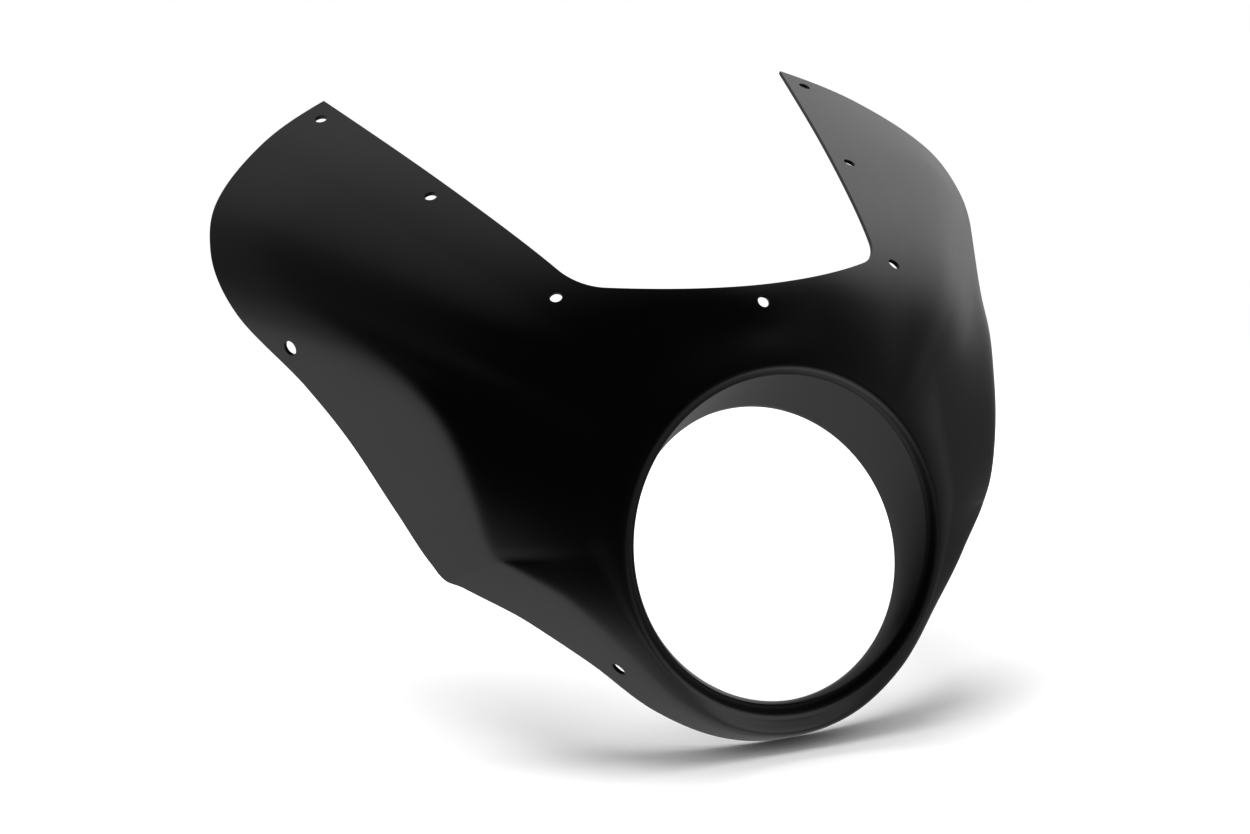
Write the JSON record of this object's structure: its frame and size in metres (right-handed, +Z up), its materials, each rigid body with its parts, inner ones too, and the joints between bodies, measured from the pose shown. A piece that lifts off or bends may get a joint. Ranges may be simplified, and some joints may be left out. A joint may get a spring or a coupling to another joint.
{
  "type": "motorcycle semi-fairing",
  "caption": "Headlight semi-fairing for a motorcycle: a moulded shell with a ducted round headlight opening, two wings beside a windscreen cut-out, and screw holes.",
  "frame": {"origin": "centre of the rear edge of the headlight duct, on the headlight axis", "axes": "-Y forward along the headlight axis, +Z up, +X to the viewer's right when seen from the front; the part is symmetric about X = 0"},
  "size_m": [0.5712, 0.2577, 0.4816],
  "materials": {
    "satin_black": "satin"
  },
  "bodies": {
    "root": {"fairing_shell": "satin_black"}
  },
  "joints": []
}
